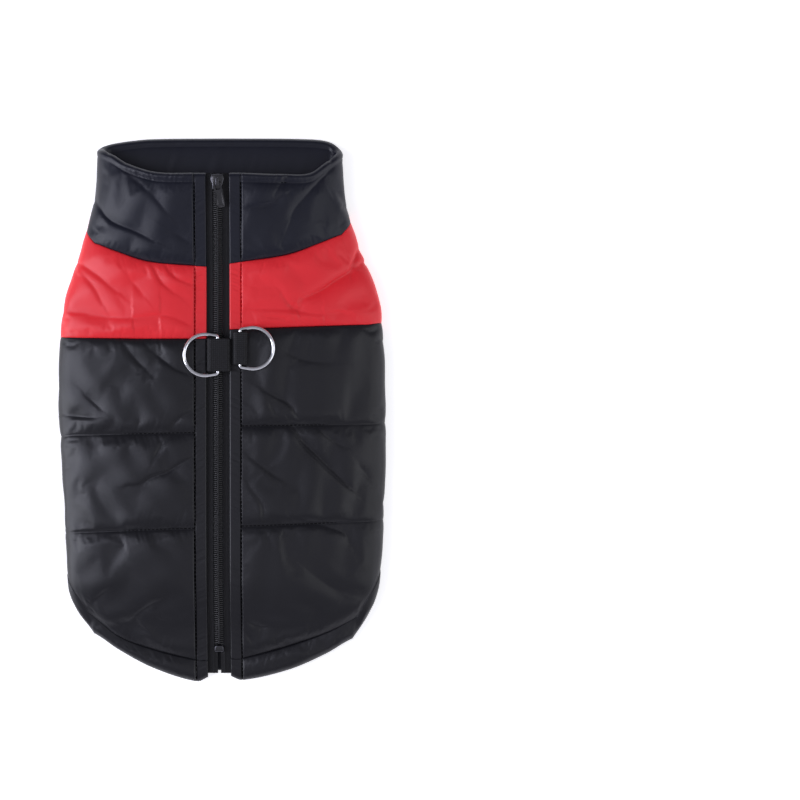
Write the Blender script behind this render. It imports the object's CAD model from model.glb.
# %% [markdown]
# # A dog's winter coat, laid out on its belly
# The coat is a quilted vest of thin nylon with wadding behind it: a stand collar, a red yoke, a
# black back, a belly piece and a hem band, closed by a zip down the back. The hard frame
# already has every part in its place. This lesson dresses it: cloth that is puffed, sewn and
# creased, thread, a coil zip, webbing, chrome rings, and the light of a product photograph.

# %% Load the frame
import math

import bpy
import numpy as np
from mathutils import Matrix, Vector


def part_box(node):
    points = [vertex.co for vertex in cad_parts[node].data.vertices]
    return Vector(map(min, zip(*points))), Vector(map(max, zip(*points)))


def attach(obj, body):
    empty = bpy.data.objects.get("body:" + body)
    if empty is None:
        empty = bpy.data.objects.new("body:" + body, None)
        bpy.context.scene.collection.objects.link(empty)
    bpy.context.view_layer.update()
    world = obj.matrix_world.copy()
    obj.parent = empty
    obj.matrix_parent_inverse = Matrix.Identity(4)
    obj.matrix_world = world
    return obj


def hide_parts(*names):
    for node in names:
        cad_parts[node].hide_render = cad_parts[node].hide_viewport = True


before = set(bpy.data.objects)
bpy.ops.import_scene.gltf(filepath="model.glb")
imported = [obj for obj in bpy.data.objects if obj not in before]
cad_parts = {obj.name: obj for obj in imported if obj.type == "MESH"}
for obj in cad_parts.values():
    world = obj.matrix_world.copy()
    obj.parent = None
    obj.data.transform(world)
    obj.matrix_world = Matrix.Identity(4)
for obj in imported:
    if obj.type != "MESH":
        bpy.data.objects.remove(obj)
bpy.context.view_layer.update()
MM = 0.001
LEFT, RIGHT = -1, 1
SIDES = {"left": LEFT, "right": RIGHT}

# %% [markdown]
# ## How the coat lies
# Every piece of cloth lies on one form, the coat's lining. A place on it has a side, a number c
# that runs round the girth (0 beside the zip, 1 where the back turns over, 2 where the side
# meets the ground, 3 at the flank seam, 4 on the belly's middle) and a y along the coat.
# Sculpting each panel freely would leave gaps at the seams, so all of them are drawn on
# this one form with a height above it. Sizes are in millimetres.

# %% Sizes of the form
ZIP_X = -2.2
ZIP_HALF = 8.2
PLACKET = 8.0
PLACKET_C = 0.1
SIDE_WALL, SIDE_TURN = 6.0, 5.0
STATION_Y = (-198, -170, -155, -142, -126, -114, -93, -64, -28, 8, 50, 80, 97, 115, 133, 151,
             170, 198)
HALF_LEFT = (101, 102.3, 104.2, 107.3, 111.4, 112.4, 113.5, 113.8, 116.2, 117.9, 117.3, 113.2,
             108.2, 102.4, 97, 93, 90.6, 90.4)
HALF_RIGHT = (101, 103.5, 106.5, 108.8, 113.2, 114.6, 116.4, 116.6, 118, 117.3, 116.4, 112.8,
              107.4, 99.6, 93.6, 89.6, 87.8, 86.8)
FLOOR = (0.3, 0.6, 1.2, 3.2, 5.2, 5.5, 5.5, 5.5, 5.5, 5.5, 5.5, 5.5, 5.5, 5.5, 5.5, 5.5, 5.5, 5.5)
SIDE_RISE = (0.3, 0.8, 1.6, 2.8, 4.2, 4.8, 5.2, 5.2, 5.2, 5.2, 5.2, 5.2, 5.4, 6, 6.8, 7.6, 8.2, 8.2)
CROWN = (1, 4, 5.4, 6.2, 6.6, 7, 7.6, 8.2, 8.6, 8.8, 8.8, 9, 9.4, 10.2, 11.8, 13.6, 15, 15)
FLANK_Y = (-120, -88, 34, 110, 129, 143, 158)
FLANK_HALF = (68, 69.5, 75.5, 71, 67.5, 65, 54)

# %% Where the seams and edges lie, at nine places round the girth
PLACES = (0, 0.1, 0.5, 0.8, 1, 1.5, 2, 3, 4)
COLLAR_RIM = {LEFT: (169.8, 169.9, 170.6, 176.8, 184.6, 189, 192.8, 196, 196.6),
              RIGHT: (169.8, 169.9, 169.2, 170.2, 179.4, 187.5, 194.4, 196.3, 196.6)}
NECK_SEAM = {LEFT: (103.3, 103.9, 107, 114.6, 120, 129, 141, 157, 162),
             RIGHT: (105.5, 106.7, 112, 120.4, 126, 134.5, 143, 157, 162)}
YOKE_SEAM = {LEFT: (51.5, 51.5, 51.5, 51.9, 52.2, 52.4, 54, 56, 56),
             RIGHT: (58, 58.4, 60, 61, 61.6, 62.3, 59, 56, 56)}
CHEST_QUILT = {side: (70, 70, 70, 70, 70, 70, 70, 68, 72) for side in (LEFT, RIGHT)}
UPPER_QUILT = {LEFT: (-15.5, -15.7, -16.5, -17.2, -17.6, -18.4, -15, -12, -13),
               RIGHT: (-11.2, -11, -10.4, -10, -9.7, -9, -11, -13, -13)}
LOWER_QUILT = {LEFT: (-83.9, -84.2, -85.5, -86.8, -87.5, -88.2, -84, -77, -72),
               RIGHT: (-83.2, -82.8, -81.4, -80.2, -79.6, -78.8, -79, -77, -72)}
HEM_SEAM = {LEFT: (-180, -179.6, -171.5, -161.2, -144, -118, -101, -79, -72.4),
            RIGHT: (-178.6, -178.4, -168.9, -158.4, -147, -116, -100, -79, -72.4)}
HEM_RIM = {LEFT: (-192.2, -195.4, -185.2, -172, -160.5, -144.5, -123, -94.5, -85),
           RIGHT: (-191.6, -194.4, -186.6, -175.2, -164.4, -146.5, -125, -94.5, -85)}
TOPSTITCH = 6.0
COLLAR_STITCH = {side: tuple(y - TOPSTITCH for y in COLLAR_RIM[side]) for side in COLLAR_RIM}

# %% [markdown]
# A pencil line through a few marks is a smooth curve. The same curve serves for seams,
# outline and heights. numpy works out thousands of points at once, which a loop over
# vertices would take minutes for.

# %% The form as functions of side, c and y
def smooth(marks, values, at):
    """A smooth curve through the values at the rising marks, read at many places."""
    marks, values, at = (np.asarray(a, float) for a in (marks, values, at))
    ahead = np.minimum(np.arange(len(marks)) + 1, len(marks) - 1)
    behind = np.maximum(np.arange(len(marks)) - 1, 0)
    slope = (values[ahead] - values[behind]) / (marks[ahead] - marks[behind])
    i = np.clip(np.searchsorted(marks, at, side="right") - 1, 0, len(marks) - 2)
    span = marks[i + 1] - marks[i]
    f = (at - marks[i]) / span
    ends = values[i] * (1 + 2 * f) * (1 - f) ** 2 + values[i + 1] * f * f * (3 - 2 * f)
    return ends + span * (slope[i] * f * (1 - f) ** 2 - slope[i + 1] * f * f * (1 - f))


def lengths(path):
    """How far along a row of points each one lies."""
    return np.concatenate([[0], np.cumsum(np.linalg.norm(np.diff(path, axis=0), axis=1))])


def edge_x(side, y):
    half = np.where(side > 0, smooth(STATION_Y, HALF_RIGHT, y), smooth(STATION_Y, HALF_LEFT, y))
    return half - SIDE_WALL - SIDE_TURN


def flank_x(y):
    return smooth(FLANK_Y, FLANK_HALF, np.clip(y, FLANK_Y[0], FLANK_Y[-1]))


def line_y(line, side, c):
    c = np.maximum(c, 0)
    return np.where(side > 0, smooth(PLACES, line[RIGHT], c), smooth(PLACES, line[LEFT], c))


def outward(side, c, y):
    """Distance from the coat's middle plane."""
    zip_x, edge, flank = ZIP_X * side, edge_x(side, y), flank_x(y)
    stitched = zip_x + ZIP_HALF + PLACKET
    return np.select(
        [c <= 0, c <= PLACKET_C, c <= 1, c <= 2, c <= 3],
        [zip_x + ZIP_HALF * (1 + c),
         zip_x + ZIP_HALF + PLACKET * c / PLACKET_C,
         stitched + (edge - stitched) * (c - PLACKET_C) / (1 - PLACKET_C),
         edge + SIDE_TURN * np.sin((c - 1) * np.pi),
         edge + (flank - edge) * (c - 2)],
        flank * (4 - c))


def lining(side, c, y):
    side, c, y = np.broadcast_arrays(*(np.asarray(a, float) for a in (side, c, y)))
    x = outward(side, c, y)
    bulge = np.where(c <= 1.5, 1 - np.abs(x / (edge_x(side, y) + SIDE_TURN)) ** 3, 0)
    turn = (1 + np.cos(np.clip(c - 1, 0, 1) * np.pi)) / 2
    lift = smooth(STATION_Y, CROWN, y) * bulge + smooth(STATION_Y, SIDE_RISE, y) * turn
    return np.stack([side * x, y, smooth(STATION_Y, FLOOR, y) + lift], -1)


def normal_of(side, c, y):
    """Unit vector out of the coat."""
    step_c, step_y = 0.01, 0.4
    along_c = lining(side, c + step_c, y) - lining(side, c - step_c, y)
    along_y = lining(side, c, y + step_y) - lining(side, c, y - step_y)
    out = np.cross(along_c, along_y) * np.asarray(side, float)[..., None]
    return out / np.linalg.norm(out, axis=-1, keepdims=True)


def point(side, c, y, height):
    """The point at that height over the lining. The ground flattens what would go below it."""
    side, c, y, height = np.broadcast_arrays(*(np.asarray(a, float) for a in (side, c, y, height)))
    found = lining(side, c, y) + normal_of(side, c, y) * height[..., None]
    found[..., 2] = np.maximum(found[..., 2], 0)
    return found


print("middle of the back at y=40:", point(RIGHT, 0.0, 40.0, 6.5).round(1))

# %% [markdown]
# ## Finishes
# The shell is nylon taffeta: a plain weave of fine flat yarn, pressed between hot rollers, so
# it is smooth, a little glossy and brightest where it leans towards the light. Image
# textures could show this, but nodes stay sharp at any distance. One function turns the
# colours, read as sRGB hex values, to the linear ones that shaders want.

# %% Colour and node helpers
def colour(hex_value):
    parts = [int(hex_value[i : i + 2], 16) / 255 for i in (1, 3, 5)]
    return (*[p / 12.92 if p <= 0.04045 else ((p + 0.055) / 1.055) ** 2.4 for p in parts], 1.0)


def add_node(tree, kind, sockets=None, **settings):
    """Adds a shader node. sockets gives an input a value, or another node's output."""
    made = tree.nodes.new("ShaderNode" + kind)
    for name, value in settings.items():
        setattr(made, name, value)
    for name, value in (sockets or {}).items():
        if isinstance(value, bpy.types.NodeSocket):
            tree.links.new(value, made.inputs[name])
        else:
            made.inputs[name].default_value = value
    return made


def new_material(name, hex_value, roughness, **values):
    """A material with its shader, ready for nodes. values are the shader's own sockets."""
    made = bpy.data.materials.new(name)
    made.use_nodes = True
    shader = made.node_tree.nodes["Principled BSDF"]
    shader.inputs["Base Color"].default_value = colour(hex_value)
    shader.inputs["Roughness"].default_value = roughness
    for socket, value in values.items():
        shader.inputs[socket.replace("_", " ")].default_value = value
    made.diffuse_color = colour(hex_value)
    return made, made.node_tree, shader


# %% [markdown]
# The yarns are 0.25 mm apart on the real cloth, too fine to show, so the weave is drawn at
# 0.6 mm. It reads the piece's UV map, which is laid out in millimetres of cloth, and so it
# follows the panel over every fold. A slow cloudiness in tone is what creased nylon shows.

# %% Nylon, in the shell's two colours and navy, and the lining
WEAVE_MM = 0.6
WEAVE_DEPTH = 0.00003
WAVE_PERIOD = 0.314  # a Wave texture of scale 1 repeats after this many units


def crossed_threads(tree, place, period_mm):
    """Warp and weft: two Wave textures that cross each other, multiplied."""
    ways = [add_node(tree, "TexWave", {"Vector": place.outputs["UV"], "Distortion": 0.0,
                                       "Scale": WAVE_PERIOD / period_mm}, bands_direction=way)
            for way in "XY"]
    return add_node(tree, "Math", {0: ways[0].outputs["Fac"], 1: ways[1].outputs["Fac"]},
                    operation="MULTIPLY").outputs[0]


def two_toned(tree, shader, share, dark, light):
    tone = add_node(tree, "Mix", {0: share, 6: colour(dark), 7: colour(light)}, data_type="RGBA")
    tree.links.new(tone.outputs[2], shader.inputs["Base Color"])


def embossed(tree, shader, relief, strength, depth):
    bump = add_node(tree, "Bump", {"Height": relief, "Strength": strength, "Distance": depth})
    tree.links.new(bump.outputs["Normal"], shader.inputs["Normal"])


def nylon(name, dark, light, roughness, shine):
    made, tree, shader = new_material(name, light, roughness, IOR=1.53, Specular_IOR_Level=shine)
    place = add_node(tree, "TexCoord")
    cloudy = add_node(tree, "TexNoise", {"Vector": place.outputs["Object"], "Scale": 38.0,
                                         "Detail": 3.0, "Roughness": 0.55})
    two_toned(tree, shader, cloudy.outputs[0], dark, light)
    embossed(tree, shader, crossed_threads(tree, place, WEAVE_MM), 0.35, WEAVE_DEPTH)
    return made


NYLON_BLACK = nylon("nylon_taffeta_black", "#111115", "#16161B", 0.38, 0.36)
NYLON_NAVY = nylon("nylon_taffeta_navy", "#12141E", "#171925", 0.38, 0.29)
NYLON_RED = nylon("nylon_taffeta_red", "#E2262E", "#E82C34", 0.38, 0.34)
LINING = nylon("polyester_lining_black", "#11121A", "#161821", 0.5, 0.3)

# %% [markdown]
# Zip tape and webbing are matt, thick woven polyester. The coil is nylon monofilament, which
# shines a little. The slider is cast zinc under black enamel, and the rings are steel wire,
# chromium plated: a mirror with a faint blue in it.

# %% Tape, webbing, coil, thread and metals
KNOT_DEPTH = 0.0001


def woven(name, dark, light, roughness, rib_mm, strength):
    made, tree, shader = new_material(name, light, roughness, IOR=1.5, Specular_IOR_Level=0.3)
    knots = crossed_threads(tree, add_node(tree, "TexCoord"), rib_mm)
    two_toned(tree, shader, knots, dark, light)
    embossed(tree, shader, knots, strength, KNOT_DEPTH)
    return made


TAPE = woven("woven_zip_tape_black", "#0D0D0F", "#1C1C20", 0.7, 0.9, 0.6)
WEBBING = woven("woven_webbing_black", "#0A0A0C", "#26262A", 0.65, 1.4, 0.9)
COIL = new_material("nylon_coil_black", "#141416", 0.35, IOR=1.53)[0]
THREAD_BLACK = new_material("polyester_thread_black", "#060607", 0.9,
                            Specular_IOR_Level=0.1)[0]
THREAD_RED = new_material("polyester_thread_red", "#B5161E", 0.9, Specular_IOR_Level=0.1)[0]
CHROME = new_material("chromium_plated_steel", "#E4E5E8", 0.09, Metallic=1.0)[0]
WORN_ZINC = new_material("worn_zinc_edge", "#5E5E64", 0.34, Metallic=1.0)[0]


def enamel(name):
    """Black enamel on cast zinc, with fine scratches that dull it here and there."""
    made, tree, shader = new_material(name, "#17171A", 0.28, IOR=1.5, Coat_Weight=0.4)
    place = add_node(tree, "TexCoord")
    grit = add_node(tree, "TexNoise", {"Vector": place.outputs["Object"], "Scale": 900.0,
                                       "Detail": 4.0})
    dull = add_node(tree, "MapRange", {"Value": grit.outputs[0], "From Min": 0.35,
                                       "From Max": 0.75, "To Min": 0.2, "To Max": 0.45})
    tree.links.new(dull.outputs["Result"], shader.inputs["Roughness"])
    return made


ENAMEL = enamel("enamelled_zinc_black")
print("materials:", len(bpy.data.materials))

# %% [markdown]
# ## Padding, creases and gathers
# Between two rows of stitching the wadding lifts the cloth, and each row pulls it down. The
# height rises from the thread and turns over like a pillow's edge. Round the side of the coat
# the cloth is drawn tight, so there the stitching hardly dips and the outline stays smooth.
# A bump texture would leave that outline flat, so this is real shape.

# %% Heights of the padding
PAD_BACK, PAD_FLOOR = 6.5, 5.5
SEWN_BACK, SEWN_FLOOR = 3.3, 3.4
ROLL_BACK, ROLL_FLOOR = 10.5, 5.0
HEM_PAD, HEM_ROLL, HEM_SEWN = 6.4, 9.0, 3.4
EDGE_ROLL = 2.8
SIDE_HOLD = 0.8  # share of the dip that is missing where the cloth turns over
PLACKET_HOLD = 0.7  # the cloth stands up beside the placket, behind a slit with steep walls
SLIT_FLOOR, SLIT_WALL, STRIP_WALL = 0.8, 0.4, 0.45
# Lines that dip less than a quilting line: the missing share of the dip, and its curve's power.
SHALLOW = ((COLLAR_STITCH, 0.3, 0.66), (HEM_SEAM, 0.1, 1), (COLLAR_RIM, 1, 1), (HEM_RIM, 1, 1))


def rise(distance, roll, power=0.66):
    """0 on the stitching, rounding over to 1 where the padding is full."""
    return (1 - (1 - np.clip(distance / roll, 0, 1)) ** 2) ** power


# %% [markdown]
# The main creases of the photograph are placed by hand, as lines seen from above with a width
# and a depth. Thin nylon over soft wadding makes a shallow valley whose floor is a sharp line,
# and the wall towards the left is the steep one, because the cloth was pulled that way.

# %% The creases of the back: x and y of the points, then width and depth
CREASES = (
    (((-89, 161), (-86, 147), (-77, 136), (-63, 130), (-47, 122)), 2.6, 1.6),
    (((-53, 159), (-44, 150), (-37, 141)), 4.0, 1.1),
    (((-64, 168), (-52, 158)), 3.5, 1.2),
    (((-36, 130), (-22, 121)), 5.0, 0.9),
    (((84, 181), (72, 168), (62, 157), (52, 145), (49, 138)), 4.0, 2.2),
    (((21, 146), (35, 148), (44, 154)), 2.6, 1.5),
    (((84, 146), (90, 136)), 2.0, 1.6),
    (((79, 160), (85, 147)), 2.4, 1.1),
    (((50, 171), (41, 160)), 2.6, 1.4),
    (((-103, 107), (-88, 97), (-74, 85)), 3.2, 1.3),
    (((-97, 96), (-90, 88), (-84, 76)), 3.0, 1.2),
    (((-66, 96), (-55, 82)), 5.0, 1.0),
    (((-49, 105), (-43, 93), (-33, 84)), 2.6, 1.4),
    (((-41, 106), (-33, 96), (-20, 90)), 2.0, 1.2),
    (((-94, 68), (-63, 66), (-38, 68), (-18, 59)), 5.0, 1.4),
    (((104, 109), (92, 100), (82, 94), (72, 87), (58, 80)), 2.8, 3.6),
    (((94, 121), (93.5, 110), (92, 99)), 2.0, 3.0),
    (((44, 82), (52, 73), (58, 75)), 2.2, 1.2),
    (((19, 73), (50, 72), (68, 69), (86, 70)), 3.5, 1.2),
    (((30, 67), (46, 66)), 2.0, 0.9),
    (((-67, 44), (-56, 31)), 3.2, 1.1),
    (((-51, 44), (-34, 31), (-22, 26)), 3.6, 1.4),
    (((-106, -4), (-89, -5)), 3.0, 1.4),
    (((-97, 12), (-84, 0)), 2.4, 0.9),
    (((-18, 0), (-29, -5), (-36, -12)), 2.2, 1.1),
    (((-41, -22), (-48, -35)), 2.6, 0.9),
    (((-18, -32), (-29, -38), (-39, -44), (-50, -48), (-58, -53), (-67, -54)), 1.8, 1.3),
    (((30, 15), (39, 10), (48, 5), (54, -4)), 2.2, 1.3),
    (((34, 6), (39, -2)), 2.6, 0.9),
    (((46, 42), (60, 36), (78, 34)), 4.5, 0.9),
    (((50, -10), (58, -22), (69, -33), (79, -43), (92, -56)), 2.8, 3.2),
    (((70, -14), (80, -22), (88, -26)), 3.2, 1.0),
    (((19, -32), (30, -40), (40, -48)), 3.2, 1.0),
    (((20, -54), (29, -67), (30, -77)), 2.8, 1.1),
    (((63, -80), (86, -87), (91, -95)), 3.6, 1.4),
    (((98, -40), (106, -50)), 3.0, 1.2),
    (((-91, -135), (-81, -127)), 2.0, 1.1),
    (((-61, -145), (-47, -136)), 3.6, 1.1),
    (((61, -114), (76, -125), (85, -129)), 4.6, 1.3),
    (((19, -150), (25, -154), (33, -154)), 1.7, 0.9),
    (((17, -159), (23, -168)), 1.8, 0.9),
)


GENTLE, STEEP = 1.7, 0.5  # how wide the two walls of a crease are, in widths
CREASE_FLOOR = 0.3


def crease_depth(x, y):
    """How far the creases sink the cloth at x and y."""
    depth = np.zeros(np.broadcast(x, y).shape)
    for marks, width, deep in CREASES:
        count = np.arange(len(marks))
        steps = 4 * (len(marks) - 1)
        places = np.linspace(0, count[-1], steps + 1)
        bent = np.transpose([smooth(count, values, places) for values in zip(*marks)])
        nearest = np.full(depth.shape, 1e9)
        along, beyond = np.zeros(depth.shape), np.zeros(depth.shape)
        for k, ((x1, y1), (x2, y2)) in enumerate(zip(bent, bent[1:])):
            ax, ay = x2 - x1, y2 - y1
            share = np.clip(((x - x1) * ax + (y - y1) * ay) / (ax * ax + ay * ay), 0, 1)
            off = np.hypot(x - x1 - share * ax, y - y1 - share * ay)
            turn = (ax * (y - y1) - ay * (x - x1)) * (-1 if ay > 0 else 1)
            along = np.where(off < nearest, (k + share) / steps, along)
            beyond = np.where(off < nearest, turn > 0, beyond)
            nearest = np.minimum(nearest, off)
        fade = np.sin(np.pi * (0.12 + 0.76 * along)) ** 0.8
        width = np.where(beyond, GENTLE, STEEP) * width
        from_floor = np.hypot(nearest, CREASE_FLOOR) - CREASE_FLOOR
        depth += 0.9 * deep * fade * np.exp(-from_floor / width)
    return depth


# %% [markdown]
# A seam is sewn with the cloth pushed together a little, so small ridges stand across it and
# fade out within a centimetre. Their spacing is uneven: several waves of different lengths
# are added, with a slower wave that makes them gather in clusters. The seed is fixed,
# so the coat is the same on each run.

# %% Gathers across a seam
def ripples(along, seed, shortest=2.7):
    """An uneven row of ridges, between about -1 and 1, at each distance along a seam."""
    dice = np.random.default_rng(seed)
    total = np.zeros(np.shape(along))
    for k, share in enumerate((0.34, 0.36, 0.3, 0.24)):
        length = shortest * 1.47**k * dice.uniform(0.92, 1.08)
        sway = 1.6 * np.sin(2 * np.pi * along / (length * 8.3) + dice.uniform(0, 6.28))
        total += share * np.sin(2 * np.pi * along / length + sway + dice.uniform(0, 6.28))
    cluster = 0.5 + 0.5 * np.sin(2 * np.pi * along / dice.uniform(31, 43) + dice.uniform(0, 6.28))
    return total * (0.35 + 0.85 * cluster)


def soft_step(t):
    """From 0 to 1 with a level start and end."""
    t = np.clip(t, 0, 1)
    return t * t * (3 - 2 * t)


def dip(line, distance, roll):
    """0 on a line and 1 away from it. Topstitching and gathers dip less, a rim not at all."""
    missing, power = next((rest for known, *rest in SHALLOW if known is line), (0, 0.66))
    return missing + (1 - missing) * rise(distance, roll, power)


def gathers(along, distance, seed, tall, reach, shortest=2.7):
    """Height that the gathers add at a distance from their seam."""
    near = np.clip(distance, 0, None)
    fade = np.exp(-near / reach) * (1 - np.exp(-near / 0.7))
    return tall * fade * ripples(along + 0.35 * near, seed, shortest)


def waves(x, y, seed):
    """Slow unevenness of the wadding, between about -1 and 1."""
    dice = np.random.default_rng(seed)
    total = np.zeros(np.broadcast(x, y).shape)
    for length in (19, 24, 31, 40, 52):
        way, start = dice.uniform(0, 2 * np.pi, 2)
        total += np.sin(2 * np.pi * (x * np.cos(way) + y * np.sin(way)) / length + start) / 2.5
    return total


print("deepest crease on the back:", round(float(crease_depth(
    *np.meshgrid(np.arange(-110, 110, 2.0), np.arange(-170, 180, 2.0))).max()), 2), "mm")

# %% [markdown]
# ## Cloth in a grid
# Each panel is one grid of rows and columns. The columns stand closest at the edges of the
# placket, close on the back, where the camera looks, and further apart on the side that lies
# on the ground. A closed wall needs an outer layer, a lining and the edges between them.

# %% Columns, rows and a closed wall
SEAM_GAP = 0.16
FINE = 0.88  # spacing of the rows
ZIP_EDGE_C = 0.004
STRIP_C, SLIT_C = 0.92 * PLACKET_C, PLACKET_C + 0.0125
# Stretches of the girth, each with its number of columns.
ROUND = ((0, ZIP_EDGE_C, 2), (ZIP_EDGE_C, STRIP_C, 8), (STRIP_C, PLACKET_C, 4),
         (PLACKET_C, SLIT_C, 10), (SLIT_C, 1, 104), (1, 2, 16), (2, 3, 20), (3, 4, 42))
BELLY_STEP, SIDE_STEP = 70, 28  # millimetres of cloth in one step of c beside the flank seam


def columns(first, last):
    """Places round the girth from one whole place to another, an even number of steps."""
    found = []
    for start, end, count in ROUND:
        if first <= start and end <= last:
            found.append(np.linspace(start, end, count + 1))
    joined = np.concatenate([found[0]] + [part[1:] for part in found[1:]])
    if first == 3:
        joined[0] += SEAM_GAP / 2 / BELLY_STEP
    if last == 3:
        joined[-1] -= SEAM_GAP / 2 / SIDE_STEP
    return joined


def rows_between(channels):
    """Shares of each channel from its upper line (0) to its lower one (1), with its number."""
    found = []
    for number, (high, low) in enumerate(channels):
        tall = np.mean([np.mean(np.subtract(high[s], low[s])[:4]) for s in (LEFT, RIGHT)])
        count = 2 * max(round(tall / FINE / 2), 3)
        share = np.linspace(0, 1, count + 1)
        found += [(number, s) for s in (share if number == 0 else share[1:])]
    return found


def new_piece(name, points, faces, finishes, uv=None):
    """An object made of points in millimetres, and of a UV place for each point if given."""
    mesh = bpy.data.meshes.new(name)
    mesh.from_pydata((points * MM).tolist(), [], faces)
    if uv is not None:
        layer = mesh.uv_layers.new(name="cloth")
        corners = np.empty(len(mesh.loops), int)
        mesh.loops.foreach_get("vertex_index", corners)
        layer.data.foreach_set("uv", uv[corners].ravel())
    for finish in finishes:
        mesh.materials.append(finish)
    made = bpy.data.objects.new(name, mesh)
    bpy.context.collection.objects.link(made)
    return made


def hand_over(made, slot, *nodes, ride="root"):
    """Gives a piece its body and its slot, and says which node it stands for."""
    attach(made, ride)
    if nodes:
        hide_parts(*nodes)
    return made


def closed_wall(name, outer, inner, uv, finishes, slot):
    """Makes a piece from two grids of points in millimetres, with its UV map in millimetres."""
    high, wide = outer.shape[:2]
    points = np.concatenate([outer.reshape(-1, 3), inner.reshape(-1, 3)])
    index = np.arange(high * wide).reshape(high, wide)
    quads = np.stack([index[:-1, :-1], index[:-1, 1:], index[1:, 1:], index[1:, :-1]], -1)
    quads = quads.reshape(-1, 4)
    middle = len(quads) // 2
    a, b, c = (points[quads[middle, k]] for k in range(3))
    facing = np.dot(np.cross(b - a, c - a), points[quads[middle, 0]]
                    - points[quads[middle, 0] + high * wide])
    if facing < 0:
        quads = quads[:, ::-1]
    border = np.concatenate([index[0, :], index[1:, -1], index[-1, -2::-1], index[-2:0:-1, 0]])
    edge = np.stack([border, np.roll(border, -1)], -1)
    if facing > 0:
        edge = edge[:, ::-1]
    rim = np.concatenate([edge, edge[:, ::-1] + high * wide], -1)
    faces = np.concatenate([quads, quads[:, ::-1] + high * wide, rim])
    made = new_piece(name, points, faces.tolist(), finishes, np.tile(uv.reshape(-1, 2), (2, 1)))
    kind = np.repeat((0, 1, 0), (len(quads), len(quads), len(rim)))
    mesh = made.data
    mesh.polygons.foreach_set("material_index", np.minimum(kind, len(finishes) - 1))
    mesh.polygons.foreach_set("use_smooth", np.ones(len(faces), bool))
    mesh.update()
    return hand_over(made, slot, name)


# %% [markdown]
# The wadding is a spring and the nylon over it is a little too large, which is what makes a
# padded coat look padded. A cloth simulation finds where the spare cloth goes: the grid is
# pinned hard along the stitching, the placket and the ground, softly on the wadding, and grows
# by about one per cent. It runs on every second row and column, and what it moves is then
# spread over the fine grid.

# %% Settling the cloth
GROWTH = 0.014  # how much larger the cloth becomes, as a share of its length
FRAMES = 18
CAP = 1.3  # the furthest that a point may move


def only(made):
    """Selects one object and makes it the active one."""
    bpy.ops.object.select_all(action="DESELECT")
    made.select_set(True)
    bpy.context.view_layer.objects.active = made


def settle(start, pin):
    """Simulates the grid of points, in millimetres, and gives back how far each one moved."""
    high, wide = start.shape[:2]
    bpy.ops.object.select_all(action="DESELECT")
    bpy.ops.mesh.primitive_grid_add(x_subdivisions=wide - 1, y_subdivisions=high - 1, size=1)
    made = bpy.context.object
    flat = np.empty(len(made.data.vertices) * 3)
    made.data.vertices.foreach_get("co", flat)
    flat = flat.reshape(-1, 3)
    across = np.rint((flat[:, 0] + 0.5) * (wide - 1)).astype(int)
    down = np.rint((0.5 - flat[:, 1]) * (high - 1)).astype(int)
    made.data.vertices.foreach_set("co", (start[down, across] * MM).ravel())
    made.data.update()
    group = made.vertex_groups.new(name="sewn")
    for k, weight in enumerate(pin[down, across]):
        group.add([k], float(weight), "REPLACE")
    cloth = made.modifiers.new("Settle", "CLOTH")
    settings = cloth.settings
    settings.quality = 6
    settings.mass = 0.12
    settings.tension_stiffness = settings.compression_stiffness = 18
    settings.shear_stiffness = 6
    settings.bending_stiffness = 2.5
    settings.vertex_group_mass = "sewn"
    settings.pin_stiffness = 1.0
    settings.shrink_min = -GROWTH
    settings.effector_weights.gravity = 0
    cloth.collision_settings.use_collision = False
    cloth.point_cache.frame_start, cloth.point_cache.frame_end = 1, FRAMES
    for number in range(1, FRAMES + 1):
        bpy.context.scene.frame_set(number)
    only(made)
    bpy.ops.object.modifier_apply(modifier=cloth.name)
    found = np.empty(len(made.data.vertices) * 3)
    made.data.vertices.foreach_get("co", found)
    moved = np.zeros(start.shape)
    moved[down, across] = found.reshape(-1, 3) / MM - start[down, across]
    mesh = made.data
    bpy.data.objects.remove(made)
    bpy.data.meshes.remove(mesh)
    bpy.context.scene.frame_set(1)
    far = np.linalg.norm(moved, axis=-1, keepdims=True)
    return moved * (CAP * np.tanh(far / CAP) / np.maximum(far, 1e-9))


def spread(coarse, shape):
    """Fills the rows and columns that the simulation left out, on a smooth curve."""
    for axis in (0, 1):
        coarse = np.moveaxis(coarse, axis, 0)
        padded = np.concatenate([coarse[:1], coarse, coarse[-1:]])
        between = (9 * (padded[1:-2] + padded[2:-1]) - padded[:-3] - padded[3:]) / 16
        fine = np.empty((2 * len(coarse) - 1, *coarse.shape[1:]))
        fine[::2], fine[1::2] = coarse, between
        coarse = np.moveaxis(fine, 0, axis)
    assert coarse.shape == shape, (coarse.shape, shape)
    return coarse


# %% [markdown]
# ## One panel from its seams
# A panel is named by the side it is on, by the places round the girth where it starts and
# ends, and by the lines that bound its padded channels. Everything else follows: where the
# points lie, how high they stand, which ones are sewn down, and what the simulation adds.

# %% The panel
WADDING = 0.05  # how hard the wadding holds the cloth in the simulation
LOOSE = 0.55  # share of what the simulation moves that is kept
ZIP_ROLL = 0.3
TAPER = 0.6  # how much thinner the padding is where the back turns over
SLOW, DEEPEST = 0.3, 0.9  # height of the slow waves, and the share that a crease may sink
PLACKET_ROLLS, FLANK_ROLLS = 2.2, 1.3
BEAD, PUCKER = 0.8, 0.3
THINNEST = 0.08  # share of the wall's thickness that is left at a turned edge


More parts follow.
